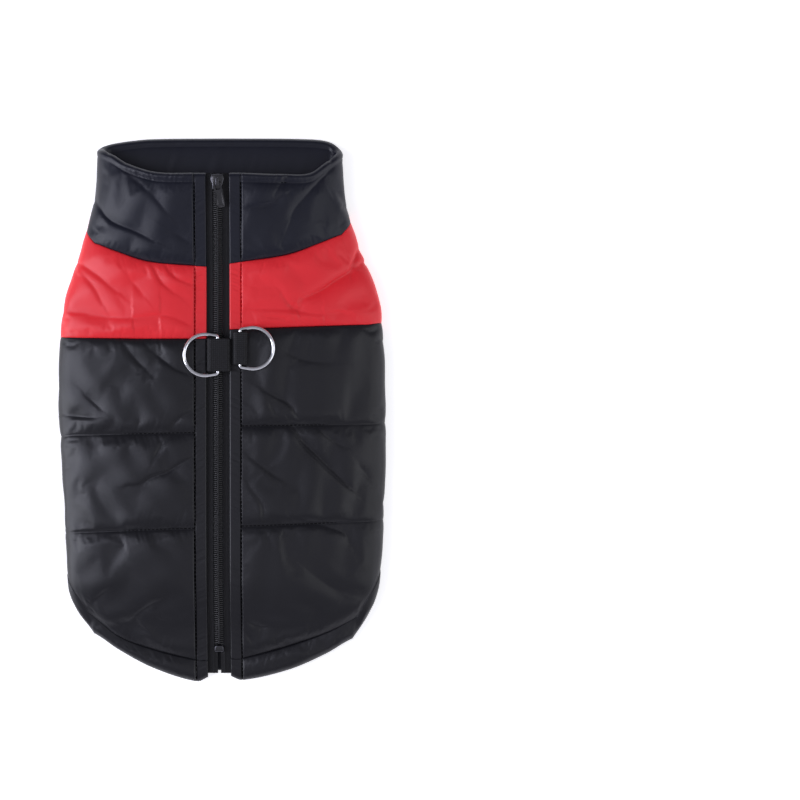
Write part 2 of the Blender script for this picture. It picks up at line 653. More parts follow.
def panel(name, sides, first, last, channels, finishes, seeds, slot, free=None, hem=False,
          tall=0.28, reach=4.0, shortest=3.0, inside=0.8):
    """A padded piece. channels are (upper line, lower line); seeds has one for each line."""
    c = columns(first, last)
    if len(sides) == 2:
        side = np.concatenate([np.full(len(c), RIGHT), np.full(len(c) - 1, LEFT)])
        c = np.concatenate([c, c[-2::-1]])
    else:
        side = np.full(len(c), sides[0])
    rows = rows_between(channels)
    number = np.array([row[0] for row in rows])
    share = np.array([row[1] for row in rows])[:, None]
    highs = np.array([line_y(high, side, c) for high, _ in channels])[number]
    lows = np.array([line_y(low, side, c) for _, low in channels])[number]
    y = highs + (lows - highs) * share
    if free != "upper":
        y[0] -= SEAM_GAP / 2
    if free != "lower":
        y[-1] += SEAM_GAP / 2
    base = lining(side, c, y)
    step = np.linalg.norm(np.diff(base[..., [0, 2]], axis=1), axis=-1)
    along = np.concatenate([np.zeros((len(y), 1)), np.cumsum(step, axis=1)], axis=1)
    slant_high = 1 / np.hypot(1, np.gradient(highs, axis=1) / np.gradient(along, axis=1))
    slant_low = 1 / np.hypot(1, np.gradient(lows, axis=1) / np.gradient(along, axis=1))
    to_high = np.maximum(highs - y, 0) * slant_high
    to_low = np.maximum(y - lows, 0) * slant_low
    to_line = np.minimum(to_high, to_low)
    ring = len(sides) == 2 and first == 0  # it goes right round, without a seam at the flank

    under = np.clip(c - 1, 0, 1)
    back_pad, floor_pad = (HEM_PAD, HEM_PAD) if hem else (PAD_BACK, PAD_FLOOR)
    pad = back_pad * (1 - under) + floor_pad * under
    sewn = (HEM_SEWN if hem else SEWN_BACK) * (1 - under) + SEWN_FLOOR * under
    taper = np.where(c <= 1, np.clip((c - 0.86) / 0.14, 0, 1) ** 2, 1 - soft_step((c - 1) / 0.6))
    pad, sewn = pad - TAPER * taper, sewn - TAPER * taper
    roll = HEM_ROLL if hem else ROLL_BACK * (1 - under) + ROLL_FLOOR * under
    out = side * base[..., 0]
    to_side = np.select([c <= 1, c <= 2], [out - ZIP_X * side - ZIP_HALF - PLACKET, 99],
                        99 if ring else np.abs(out - flank_x(y)))
    strip = PLACKET * c / PLACKET_C
    turned_over = soft_step((c - 0.5) / 0.7) * soft_step((2.3 - c) / 0.3)
    from_line = np.array([np.minimum(dip(high, to_high[k], roll), dip(low, to_low[k], roll))
                          for k, (high, low) in enumerate(channels[n] for n in number)])
    from_line = from_line + (1 - from_line) * SIDE_HOLD * turned_over
    stands = np.where(c <= 1, PLACKET_HOLD * rise(to_side - SLIT_FLOOR, SLIT_WALL, 1), 0)
    rolls = np.where(c <= 1, PLACKET_ROLLS, FLANK_ROLLS)
    from_side = stands + (1 - stands) * rise(to_side, rolls * roll, 1)
    height = sewn + (pad - sewn) * from_line * from_side
    height = height + SLOW * waves(base[..., 0], y, seeds[0] + 70) * rise(to_line, 10)
    on_back = np.clip((1.7 - c) / 0.4, 0, 1)
    sunk = np.where(c <= 1, height - sewn, pad - sewn)
    height = height - np.minimum(on_back * crease_depth(base[..., 0], y), DEEPEST * sunk)
    calm = 1 - 0.8 * soft_step((c - 0.6) / 0.25) * soft_step((2.3 - c) / 0.3)
    for k, (high_seed, low_seed) in enumerate(zip(seeds, seeds[1:])):
        here = (number == k)[:, None]
        lift = 1.8 * tall if free == "upper" and k == 0 else tall
        extra = gathers(along, to_high, high_seed, lift, reach, shortest)
        extra = extra + gathers(along, to_low, low_seed, lift, reach, shortest)
        height = height + np.where(here, extra * calm * rise(to_side, 3), 0)
    height = height + gathers(y, to_side, seeds[0] + 90, 0.22, 3.0, 2.3)
    bead = sewn + BEAD * rise(np.minimum(strip + 1.0, PLACKET - strip), STRIP_WALL, 1)
    bead = bead + PUCKER * ripples(y + 0.4 * strip, seeds[0] + 91, 2.2) * np.sin(
        np.pi * np.clip(strip / PLACKET, 0, 1))
    height = np.where(c < PLACKET_C, bead, height)
    low = -inside * rise(to_line, 10) * rise(to_side, 10) + 0 * height
    low = low + 0.15 * ripples(along + 0.5 * y, seeds[-1] + 50, 9.0) * rise(to_line, 6) - 0.1
    edge = np.ones(height.shape)
    if free:
        edge = rise(to_high if free == "upper" else to_low, (2 if hem else 1) * EDGE_ROLL)
        if len(channels) > 1:
            last_one = 0 if free == "upper" else len(channels) - 1
            edge = np.where((number == last_one)[:, None], edge, 1)
    if first == 0:
        edge = edge * np.where(c < PLACKET_C, rise(strip, ZIP_ROLL), 1)
    middle = (low + height) / 2
    low = middle + (low - middle) * np.maximum(edge, THINNEST)
    height = middle + (height - middle) * np.maximum(edge, THINNEST)
    outer, inner = point(side, c, y, height), point(side, c, y, low)

    held = (to_line < 1.0) | (c >= 1.8) | (c <= SLIT_C + 0.001) | (edge < 0.9)
    pin = np.where(held, 1.0, WADDING)[::2, ::2]
    moved = spread(settle(outer[::2, ::2], pin), outer.shape)
    loose = LOOSE * np.minimum(rise(to_line, 8, 1), rise(to_side, 30, 1))[..., None]
    outer = outer + moved * np.where(held[..., None], 0, loose)
    outer[..., 2] = np.maximum(outer[..., 2], 0)
    uv = np.stack([along, y], -1)
    made = closed_wall(name, outer, inner, uv, finishes, slot)
    print(name, "faces", len(made.data.polygons))
    return made


# %% [markdown]
# ### Collar
# A stand collar in navy: its rim is turned and stitched 6 mm below the edge, which makes a
# soft cord-like roll all round. It goes right round the neck, so it is one ring from zip
# edge to zip edge, open at the zip.

# %% Collar
panel("collar", (RIGHT, LEFT), 0, 4, [(COLLAR_RIM, COLLAR_STITCH), (COLLAR_STITCH, NECK_SEAM)],
      (NYLON_NAVY, NYLON_NAVY), (11, 12, 13), "navy_nylon", free="upper", tall=0.32, reach=3.0)

# %% [markdown]
# ### Armholes
# Each armhole is an ellipse in the side that lies on the ground. It is easier to build the
# panels whole and cut the ellipse out of them afterwards with a Boolean, as a maker cuts the
# quilted cloth, than to bend rows of points round a hole.

# %% Armhole outline and its cutter
ARM_X, ARM_Y = 60.5, 82.0
ARM_LONG, ARM_SHORT = 44.0, 35.5
ARM_LEAN = math.radians(50)
ARM_CUT = 4.4  # how far outside the ellipse the panels end


def carved(made, cutter):
    """Cuts the cutter's shape out of a piece, and removes the cutter."""
    cut = made.modifiers.new("Cut", "BOOLEAN")
    cut.object, cut.solver = cutter, "EXACT"
    only(made)
    bpy.ops.object.modifier_apply(modifier=cut.name)
    bpy.data.objects.remove(cutter)


def arm_point(side, angle, grow=0.0):
    """A point of an armhole's ellipse, made larger by grow, in millimetres seen from above."""
    long, short = (ARM_LONG + grow) * np.cos(angle), (ARM_SHORT + grow) * np.sin(angle)
    x = ARM_X - long * math.cos(ARM_LEAN) + short * math.sin(ARM_LEAN)
    return side * x, ARM_Y + long * math.sin(ARM_LEAN) + short * math.cos(ARM_LEAN)


def cut_armhole(made, side):
    bpy.ops.object.select_all(action="DESELECT")
    bpy.ops.mesh.primitive_cylinder_add(vertices=120, radius=1, depth=0.016,
                                        location=(0, 0, 0.0005))
    cutter = bpy.context.object
    for vert in cutter.data.vertices:
        x, y = arm_point(side, math.atan2(vert.co.y, vert.co.x), ARM_CUT)
        vert.co.x, vert.co.y = x * MM, y * MM
    if side == LEFT:
        cutter.data.flip_normals()
    carved(made, cutter)
    print(made.name, "after the cut:", len(made.data.polygons))


# %% [markdown]
# ### Yoke and back
# The red yoke and the black back run from the zip over the side to the flank seam. The back
# has two quilting lines across it. They are separate pieces of cloth with a seam between,
# so the edge of the red is sharp, and each side has its own creases.

# %% Yokes and back panels
YOKE_SEEDS = {LEFT: (13, 22), RIGHT: (13, 23)}
BACK_SEEDS = {LEFT: (22, 31, 32, 33), RIGHT: (23, 34, 35, 33)}
for word, side in SIDES.items():
    yoke = panel(f"yoke_{word}", (side,), 0, 3, [(NECK_SEAM, YOKE_SEAM)], (NYLON_RED, NYLON_RED),
                 YOKE_SEEDS[side], "red_nylon", tall=0.3, reach=3.5)
    back = panel(f"back_panel_{word}", (side,), 0, 3,
                 [(YOKE_SEAM, UPPER_QUILT), (UPPER_QUILT, LOWER_QUILT), (LOWER_QUILT, HEM_SEAM)],
                 (NYLON_BLACK, LINING), BACK_SEEDS[side], "black_nylon")
    for made in (yoke, back):
        cut_armhole(made, side)

# %% [markdown]
# ### Belly and hem band
# The belly piece joins the two flanks, with the armholes cut out of its sides. The hem band
# goes all round the lower edge. It is gathered on to the coat, so ridges cross it.

# %% Belly panel and hem band
belly = panel("belly_panel", (RIGHT, LEFT), 3, 4,
              [(NECK_SEAM, CHEST_QUILT), (CHEST_QUILT, UPPER_QUILT), (UPPER_QUILT, HEM_SEAM)],
              (NYLON_BLACK, LINING), (13, 41, 42, 33), "black_nylon", tall=0.35, reach=5.0)
for side in (RIGHT, LEFT):
    cut_armhole(belly, side)
panel("hem_band", (RIGHT, LEFT), 0, 4, [(HEM_SEAM, HEM_RIM)], (NYLON_BLACK, LINING), (33, 51),
      "black_nylon", free="lower", hem=True, reach=5.0, inside=0.2)

# %% [markdown]
# ### Armhole edges
# The edge of each armhole is turned round an elastic and sewn, so it is a thin roll with fine
# gathers, red where it runs along the yoke and black elsewhere. A curve with a round bevel
# would be smooth like a hose. A ring of points whose radius follows the gathers looks sewn.

# %% A gathered roll along a path
ARM_HEM = 2.5
ARM_HEM_PATH = 2.4
ARM_FOLD = 0.13  # height of the gathers, as a share of the radius


def turn_faces_out(made):
    only(made)
    bpy.ops.object.mode_set(mode="EDIT")
    bpy.ops.mesh.select_all(action="SELECT")
    bpy.ops.mesh.normals_make_consistent(inside=False)
    bpy.ops.object.mode_set(mode="OBJECT")


def roll_along(name, path, across, radius, finish, slot):
    """A closed roll. path is its centres, across the level direction out of it, radius a grid."""
    around = radius.shape[1]
    turn = np.linspace(0, 2 * np.pi, around, endpoint=False)
    ring = (path[:, None] + radius[..., None] * (
        across[:, None] * np.cos(turn)[None, :, None]
        + np.array([0, 0, 1.0]) * np.sin(turn)[None, :, None]))
    ring[..., 2] = np.maximum(ring[..., 2], 0)
    count = len(path)
    index = np.arange(count * around).reshape(count, around)
    after = np.roll(index, -1, axis=1)
    faces = np.stack([index[:-1], index[1:], after[1:], after[:-1]], -1).reshape(-1, 4).tolist()
    faces += [index[0].tolist(), index[-1, ::-1].tolist()]
    uv = np.stack([np.repeat(lengths(path), around), np.tile(np.arange(around), count)], -1)
    made = new_piece(name, ring.reshape(-1, 3), faces, (finish,), uv)
    turn_faces_out(made)
    bpy.ops.object.shade_smooth()
    hand_over(made, slot, name)


# %% Red and black stretches of each armhole's edge
def beside_yoke(side, angle):
    x, y = arm_point(side, angle, ARM_HEM_PATH)
    return (abs(x) > flank_x(y)) & (y > line_y(YOKE_SEAM, side, np.full(np.shape(y), 2.2)))


for word, side in SIDES.items():
    turns = np.linspace(0, 2 * np.pi, 1441)
    red = beside_yoke(side, turns)
    starts = np.flatnonzero(np.diff(red.astype(int)))
    first, second = turns[starts[0]], turns[starts[1]]
    gap = 0.3 / ARM_LONG
    for start, end in ((first, second), (second, first + 2 * np.pi)):
        angle = np.linspace(start + gap, end - gap, int((end - start) / (2 * np.pi) * 300))
        centre = np.stack([*arm_point(side, angle, ARM_HEM_PATH), 0 * angle], -1)
        heading = np.gradient(centre, axis=0)
        heading /= np.linalg.norm(heading, axis=1, keepdims=True)
        across = np.cross(heading, (0, 0, 1))
        length = lengths(centre)
        turn = np.linspace(0, 2 * np.pi, 14, endpoint=False)
        fold = ripples(length[:, None] + 1.2 * np.sin(turn), 61 + side, 2.6)
        radius = ARM_HEM * (1 + ARM_FOLD * fold)
        centre[:, 2] = ARM_HEM + 0.2
        is_red = bool(beside_yoke(side, np.array([(start + end) / 2 % (2 * np.pi)]))[0])
        cloth = "red" if is_red else "black"
        roll_along(f"arm_hem_{cloth}_{word}", centre, across, radius,
                   NYLON_RED if is_red else NYLON_BLACK, f"{cloth}_nylon")
        print("armhole edge", cloth, word, round(length[-1]), "mm")

# %% [markdown]
# ## Zip
# A coil zip: two woven tapes, and on each a nylon coil whose turns lock between those of the
# other. A turn is seen from above as a short bar across the tape with a thicker head. One
# turn is modelled from a cylinder, and its copies are joined into one piece, because the same
# shape comes back over four hundred times.

# %% Tapes and the strip behind the zip
COLLAR_TOP = 169.6
TAPE_END = -189.4
TAPE_FROM, TAPE_TO = 1.1, 9.2  # from the zip's centre line
TAPE_LOW, TAPE_HIGH = 1.2, 2.0
TAPE_RIB, CORD_AT, CORD_HALF = 1.35, 3.9, 0.55
FLAP_HALF, FLAP_LOW, FLAP_HIGH = 10.8, -2.0, -1.2
ROW_STEP = 1.4


def along_zip(distance):
    """Side and place c of points at these signed distances from the zip's centre line."""
    distance = np.asarray(distance, float)
    beyond = np.maximum(np.abs(distance) - ZIP_HALF, 0) / PLACKET * PLACKET_C
    within = np.minimum(np.abs(distance) / ZIP_HALF, 1) - 1
    return np.where(distance < 0, LEFT, RIGHT), within + beyond


def strip(name, xs, top, end, low, high, finish, slot):
    side, c = along_zip(xs)
    y = np.linspace(top, end, int((top - end) / ROW_STEP))[:, None] + 0 * c
    outer, inner = point(side, c, y, high + 0 * y), point(side, c, y, low + 0 * y)
    uv = np.stack([np.asarray(xs) + 0 * y, y], -1)
    return closed_wall(name, outer, inner, uv, (finish,), slot)


for word, side in SIDES.items():
    xs = side * np.linspace(TAPE_FROM, TAPE_TO, 19)
    rib = 0.10 * np.cos(2 * np.pi * (np.abs(xs) - TAPE_FROM) / TAPE_RIB)
    cord = 0.5 * np.exp(-(((np.abs(xs) - CORD_AT) / CORD_HALF) ** 2))
    tape = strip(f"zip_tape_{word}", xs, COLLAR_TOP, TAPE_END, TAPE_LOW + 0 * xs,
                 TAPE_HIGH + rib + cord, TAPE, "zip_tape")
flap_x = np.linspace(-FLAP_HALF, FLAP_HALF, 25)
flap = strip("zip_underflap", flap_x, COLLAR_TOP - 1, TAPE_END + 1.5, FLAP_LOW + 0 * flap_x,
             FLAP_HIGH + 0.12 * np.cos(flap_x), LINING, "navy_nylon")

# %% [markdown]
# Copies of a small model are placed by a table of points and directions. Only the numbers
# of its vertices are copied, so hundreds of teeth or stitches take a moment.

# %% Copying a model along a line
def take_mesh(made):
    """The vertices and faces of a modelled object, which is then removed."""
    bpy.ops.object.select_all(action="DESELECT")
    points = np.array([made.matrix_world @ v.co for v in made.data.vertices])
    faces = [tuple(p.vertices) for p in made.data.polygons]
    smooth_faces = [p.use_smooth for p in made.data.polygons]
    bpy.data.objects.remove(made)
    return points, faces, smooth_faces


def copies(name, model, spots, finish, slot, *nodes):
    """Joins copies of a model. Each spot is an origin and three axes, as numpy vectors in mm."""
    points, faces, smooth_faces = model
    placed = [origin + points / MM @ np.array(axes) for origin, axes in spots]
    joined = [tuple(k * len(points) + v for v in face)
              for k in range(len(spots)) for face in faces]
    made = new_piece(name, np.concatenate(placed), joined, (finish,))
    made.data.polygons.foreach_set("use_smooth", smooth_faces * len(spots))
    turn_faces_out(made)
    return hand_over(made, slot, *nodes)


def sliced(made, places, axis=1):
    """Adds edges where the faces cross these places on an axis, so they can be moved."""
    only(made)
    bpy.ops.object.mode_set(mode="EDIT")
    for place in places:
        bpy.ops.mesh.select_all(action="SELECT")
        bpy.ops.mesh.bisect(plane_co=[place * MM * (k == axis) for k in range(3)],
                            plane_no=[float(k == axis) for k in range(3)])
    bpy.ops.object.mode_set(mode="OBJECT")


COIL_WIRE, COIL_BAR = 0.42, 3.9
COIL_X, COIL_HEIGHT = 1.35, 3.4
TOOTH_PITCH = 1.45
CHAIN_TOP, CHAIN_END = 156.6, -167.4


def coil_turn():
    """One turn of the coil, seen from above: a bar along X with a thicker head at its end."""
    bpy.ops.object.select_all(action="DESELECT")
    bpy.ops.mesh.primitive_cylinder_add(vertices=8, radius=COIL_WIRE * MM, depth=COIL_BAR * MM,
                                        rotation=(0, math.radians(90), 0))
    made = bpy.context.object
    bpy.ops.object.transform_apply(location=False, rotation=True, scale=True)
    sliced(made, (0.9, 1.4), axis=0)
    for vert in made.data.vertices:
        if vert.co.x > 1.3 * MM:
            vert.co.y *= 1.3
            vert.co.z *= 1.25
        if vert.co.x > 1.9 * MM:
            vert.co.y *= 0.62
            vert.co.z *= 0.6
        if vert.co.x < -1.9 * MM:
            vert.co.z -= 0.5 * MM
    only(made)
    bpy.ops.object.shade_smooth()
    return take_mesh(made)


turn_model = coil_turn()
spots = []
for y in np.arange(CHAIN_TOP, CHAIN_END, -TOOTH_PITCH):
    for side, shift in ((LEFT, 0), (RIGHT, TOOTH_PITCH / 2)):
        on_side, c = along_zip(side * COIL_X)
        middle = point(on_side, c, y - shift, COIL_HEIGHT)
        up = normal_of(on_side, c, y - shift)
        inwards = np.array([-side, 0, 0]) * 1.0
        inwards = inwards - up * inwards.dot(up)
        inwards /= np.linalg.norm(inwards)
        spots.append((middle, (inwards, np.cross(up, inwards), up)))
copies("zip_chain", turn_model, spots, COIL, "zip_coil", "zip_chain")
print("coil turns:", len(spots))

# %% [markdown]
# ### Slider, stop and pull tab
# The slider's upper plate is a shield: wide at the mouth, narrow at the tail, with flanges
# that grip the coil and a bridge that the pull tab hangs on. All three start as cubes. Their
# corners are moved, edges bevelled and the worn edges given bare metal, where the enamel
# rubs off first.

# %% Where a small part stands on the zip
def zip_frame(y, height, extra=0.0):
    """A matrix that puts a small part on the zip's middle line, leaning with the cloth."""
    here = point(RIGHT, -1.0, y, height)
    ahead, behind = lining(RIGHT, -1.0, y + 2), lining(RIGHT, -1.0, y - 2)
    tilt = math.atan2(ahead[2] - behind[2], ahead[1] - behind[1]) + extra
    return Matrix.Translation(Vector(here) * MM) @ Matrix.Rotation(tilt, 4, "X")


def cube(size, place=(0, 0, 0)):
    bpy.ops.object.select_all(action="DESELECT")
    bpy.ops.mesh.primitive_cube_add(size=1, location=Vector(place) * MM)
    made = bpy.context.object
    made.scale = Vector(size) * MM
    bpy.ops.object.transform_apply(location=True, rotation=False, scale=True)
    return made


def bevelled(made, width, steps=2):
    only(made)
    modifier = made.modifiers.new("Rounded", "BEVEL")
    modifier.width, modifier.segments = width * MM, steps
    modifier.limit_method, modifier.angle_limit = "ANGLE", math.radians(30)
    if len(made.data.materials) > 1:
        modifier.material = 1
    bpy.ops.object.modifier_apply(modifier=modifier.name)
    bpy.ops.object.shade_smooth_by_angle(angle=math.radians(35))


def joined(name, parts, matrix, ride, slot):
    """Joins the parts, puts them in place, and hands them to the frame."""
    bpy.ops.object.select_all(action="DESELECT")
    for part in parts:
        part.select_set(True)
    bpy.context.view_layer.objects.active = parts[0]
    if len(parts) > 1:
        bpy.ops.object.join()
    made = bpy.context.object
    made.name = name
    made.data.transform(matrix)
    return hand_over(made, slot, name, ride=ride)


def narrowed(made, mouth, mouth_share, tail=-99, tail_share=1):
    """Narrows a part above its mouth and below its tail, two places along Y."""
    for vert in made.data.vertices:
        if vert.co.y < tail * MM:
            vert.co.x *= tail_share
        if vert.co.y > mouth * MM:
            vert.co.x *= mouth_share


def finish_parts(parts, *finishes):
    for part in parts:
        for finish in finishes:
            part.data.materials.append(finish)


# %% Slider
SLIDER_Y = 163.8
SLIDER_TOP = 5.4
plate = cube((9.4, 10.6, 1.3), (0, 0, SLIDER_TOP - 0.65))
under_plate = cube((9.4, 10.6, 1.0), (0, 0, 0.2))
for part in (plate, under_plate):
    sliced(part, (2.2, -2.4))
    narrowed(part, 5, 0.8, -2, 0.74)
flanges = [cube((1.0, 8.4, 1.5), (way * 3.75, -0.8, SLIDER_TOP - 1.9)) for way in (-1, 1)]
for part, way in zip(flanges, (-1, 1)):
    for vert in part.data.vertices:
        if vert.co.y < 0:
            vert.co.x -= way * 0.95 * MM
post = cube((1.6, 3.6, 4.4), (0, 2.9, 2.6))
bridge = cube((2.2, 5.6, 3.0), (0, 0, SLIDER_TOP + 1.5))
carved(bridge, cube((4.0, 3.4, 2.2), (0, 0, SLIDER_TOP + 0.9)))
slider_parts = [plate, under_plate, *flanges, post, bridge]
finish_parts(slider_parts, ENAMEL, WORN_ZINC)
for part in slider_parts:
    bevelled(part, 0.22 if part in (post, under_plate) else 0.35)
slider = joined("zip_slider", slider_parts, zip_frame(SLIDER_Y, 0), "root", "zip_metal")

# %% Pull tab, which turns on its own body
PULL_LENGTH = 18.0
PULL_Y, PULL_TILT, PULL_TURN = 163.0, math.radians(1), math.radians(10)
tab = cube((6.0, PULL_LENGTH, 1.1), (0, 0.5 - PULL_LENGTH / 2, 0))
sliced(tab, (-3.0, -15.2))
narrowed(tab, -1, 0.86, -17, 0.72)
for size, place, rounding in (((3.6, 4.4, 4), (0, -2.7, 0), 0.7),
                              ((3.4, 8.2, 0.5), (0, -11.6, 0.6), 0.2)):
    hole = cube(size, place)
    bevelled(hole, rounding, 3)
    carved(tab, hole)
finish_parts([tab], ENAMEL, WORN_ZINC)
bevelled(tab, 0.16, 2)
hung = zip_frame(PULL_Y, SLIDER_TOP + 1.1, PULL_TILT)
hung = Matrix.Translation(hung.translation) @ Matrix.Rotation(PULL_TURN, 4, "Z") @ (
    hung.to_3x3().to_4x4())
pull = joined("zip_pull", [tab], hung, "pull_tab", "zip_metal")

# %% Bottom stop
STOP_Y, STOP_HEIGHT = -171.0, 3.8
stop = cube((6.4, 4.4, 2.4))
sliced(stop, (0.6,))
narrowed(stop, 1, 0.8)
finish_parts([stop], ENAMEL, WORN_ZINC)
bevelled(stop, 0.5, 3)
stop = joined("zip_stop", [stop], zip_frame(STOP_Y, STOP_HEIGHT), "root", "zip_metal")
print("slider, pull tab and stop:", len(slider.data.polygons), len(pull.data.polygons),
      len(stop.data.polygons))

# %% [markdown]
# ### D-rings and their webbing
# Each leash ring is one bent piece of wire, plated after bending: a straight bar, two small
# corners, two legs that draw together towards the bar, and an arc. A circle of vertices is
# extruded and spun along that line, as the wire is bent, so it stays round in the corners.
# The webbing is folded over the bar.

# %% A wire bent into a D
RING_WIRE = 1.3
RING_ARC = 14.8
RING_LEG = 9.0
RING_CORNER = 1.6
RING_SPLAY = math.radians(10)
# Each tab: x of its sewn end, fold and bar, y of its middle, and how far its foot goes down.
TABS = {LEFT: (-10.0, 7.4, -2.2, 39.8, 2.6), RIGHT: (8.4, 19.6, 13.9, 44.6, 0.3)}


def spin(angle, centre, steps):
    bpy.ops.mesh.spin(steps=steps, angle=angle, center=Vector(centre) * MM, axis=(0, 0, 1))


def push(x, y):
    bpy.ops.mesh.extrude_region_move(
        TRANSFORM_OT_translate={"value": (x * MM, y * MM, 0)})


for word, side in SIDES.items():
    _, _, bar, along, _ = TABS[side]
    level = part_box(f"leash_ring_{word}")[0][2] / MM + RING_WIRE
    reach = RING_ARC - RING_CORNER + math.sin(RING_SPLAY) * (RING_CORNER - RING_LEG)
    reach /= math.cos(RING_SPLAY)
    leg = (RING_LEG - RING_CORNER) - (RING_ARC - RING_CORNER) * math.sin(RING_SPLAY)
    corner, down_leg = math.pi / 2 - RING_SPLAY, leg * math.tan(RING_SPLAY)
    bpy.ops.object.select_all(action="DESELECT")
    bpy.ops.mesh.primitive_circle_add(vertices=16, radius=RING_WIRE * MM,
                                      rotation=(math.radians(90), 0, 0))
    ring = bpy.context.object
    bpy.ops.object.transform_apply(location=False, rotation=True, scale=False)
    bpy.ops.object.mode_set(mode="EDIT")
    bpy.ops.mesh.select_all(action="SELECT")
    push(0, reach)
    spin(corner, (RING_CORNER, reach, 0), 8)
    push(leg, down_leg)
    spin(math.pi + 2 * RING_SPLAY, (RING_LEG, 0, 0), 52)
    push(-leg, down_leg)
    spin(corner, (RING_CORNER, -reach, 0), 8)
    push(0, reach)
    bpy.ops.mesh.select_all(action="SELECT")
    bpy.ops.mesh.remove_doubles(threshold=0.00001)
    bpy.ops.mesh.normals_make_consistent(inside=False)
    bpy.ops.object.mode_set(mode="OBJECT")
    if side == LEFT:
        ring.data.transform(Matrix.Rotation(math.pi, 4, "Z"))
    bpy.ops.object.shade_smooth()
    finish_parts([ring], CHROME)
    joined(f"leash_ring_{word}", [ring],
           Matrix.Translation(Vector((bar, along, level)) * MM), f"ring_{word}", "chrome")
    print("ring", word, "faces", len(ring.data.polygons), "at height", round(level, 2))

# %% [markdown]
# The webbing shows a grid of warp ribs and weft cords, so the ribs are real: the fold is a
# grid of points that follows a flat loop, and each point is lifted by the rib it is on.

# %% Webbing tabs
WEB_HALF, WEB_WIDTH, WEB_CLEAR = 0.65, 23.6, 0.5
RIB, RIB_TALL = 1.45, 0.17


def loop_line(left, right, half, foot):
    """A flattened loop in X and Z whose sewn end goes down at its left, with its normals."""
    turn = np.radians(np.linspace(-90, 90, 13))
    bottom = np.stack([np.linspace(left + 1.2, right - half, 24), np.full(24, -half)], -1)
    end = np.stack([right - half + half * np.cos(turn), half * np.sin(turn)], -1)
    top = np.stack([np.linspace(right - half, left + half, 30)[1:], np.full(29, half)], -1)
    back = np.radians(np.linspace(90, 180, 8))[1:]
    start = np.stack([left + half + half * np.cos(back), half * np.sin(back)], -1)
    down = np.stack([np.full(8, left), np.linspace(-0.6, -half - foot, 8)], -1)
    line = np.concatenate([bottom, end[1:], top, start, down])
    length = lengths(line)
    even = np.linspace(0, length[-1], int(length[-1] / 0.36))
    line = np.stack([np.interp(even, length, line[:, k]) for k in (0, 1)], -1)
    heading = np.gradient(line, axis=0)
    heading /= np.linalg.norm(heading, axis=1, keepdims=True)
    return line, np.stack([heading[:, 1], -heading[:, 0]], -1), even


for word, side in SIDES.items():
    sewn_end, fold, _, along, foot = TABS[side]
    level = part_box(f"leash_ring_{word}")[0][2] / MM + RING_WIRE
    low, high = sorted((sewn_end, fold))
    half = RING_WIRE + WEB_CLEAR + WEB_HALF
    line, out, length = loop_line(low + WEB_HALF, high - WEB_HALF, half, foot)
    y = np.linspace(-WEB_WIDTH / 2, WEB_WIDTH / 2, 69)
    ribs = RIB_TALL * np.abs(np.sin(np.pi * y / RIB))[None, :] * (
        0.3 + 0.7 * np.abs(np.sin(np.pi * length / RIB))[:, None])
    selvedge = np.clip((WEB_WIDTH / 2 - np.abs(y)) / 0.5, 0.25, 1)[None, :]
    layers = []
    for way in (1, -1):
        lift = way * (0.5 + ribs) * selvedge
        layers.append(np.stack([line[:, :1] + out[:, :1] * lift + 0 * y, along + y + 0 * lift,
                                level + line[:, 1:] + out[:, 1:] * lift], -1))
    uv = np.stack([length[:, None] + 0 * y, y + 0 * length[:, None]], -1)
    web = closed_wall(f"ring_tab_{word}", *layers, uv, (WEBBING,), "webbing")
    print("webbing", word, "length", round(length[-1], 1), "mm")

# %% [markdown]
# ## Thread
# A row of lockstitch is a line of short rounded bars with small gaps, sunk into the cloth. One
# stitch is a stretched sphere with few faces. Its copies follow the plackets, the collar's
# rim and both quilting lines of the back.

# %% One stitch and the rows of it
def stitch_model(length, thick):
    bpy.ops.object.select_all(action="DESELECT")
    bpy.ops.mesh.primitive_uv_sphere_add(segments=6, ring_count=4, radius=0.5 * MM,
                                         rotation=(0, math.radians(90), 0))
    made = bpy.context.object
    made.scale = (thick, thick, length)
    bpy.ops.object.transform_apply(location=False, rotation=True, scale=True)
    for vert in made.data.vertices:
        vert.co.z *= 0.7
    bpy.ops.object.shade_smooth()
    return take_mesh(made)


STITCH, STITCH_STEP, THREAD_THICK = 2.5, 2.9, 0.8
PLACKET_WIDE = 1.5  # how much wider the thread beside the zip is
ROW_C, ROW_SUNK, COLUMN_SUNK = PLACKET_C + 0.002, 0.12, 0.25
stitch = stitch_model(STITCH, THREAD_THICK)


def stitch_spots(side, c, y, height, wide=1.0):
    """Spots at even steps along a line of places, each turned along the line."""
    dense = point(side, c, y, height)
    far = lengths(dense)
    at = np.arange(STITCH_STEP / 2, far[-1] - STITCH / 2, STITCH_STEP)
    spots = []
    ups = normal_of(side, c, y)
    for d in at:
        origin, ahead, behind = (
            np.array([np.interp(t, far, dense[:, k]) for k in range(3)])
            for t in (d, d + 0.5, d - 0.5))
        up = np.array([np.interp(d, far, ups[:, k]) for k in range(3)])
        way = (ahead - behind) / np.linalg.norm(ahead - behind)
        up = up - way * up.dot(way)
        up /= np.linalg.norm(up)
        spots.append((origin, (way, wide * np.cross(up, way), up)))
    return spots


def row_across(line, side, first, last):
    c = np.linspace(first, last, 400)
    return stitch_spots(np.full(400, side), c, line_y(line, side, c), SEWN_BACK + ROW_SUNK)


def row_down(side, top, end):
    y = np.linspace(top, end, 500)
    return stitch_spots(np.full(500, side), np.full(500, ROW_C), y,
                        np.full(500, SEWN_BACK + COLUMN_SUNK), PLACKET_WIDE)


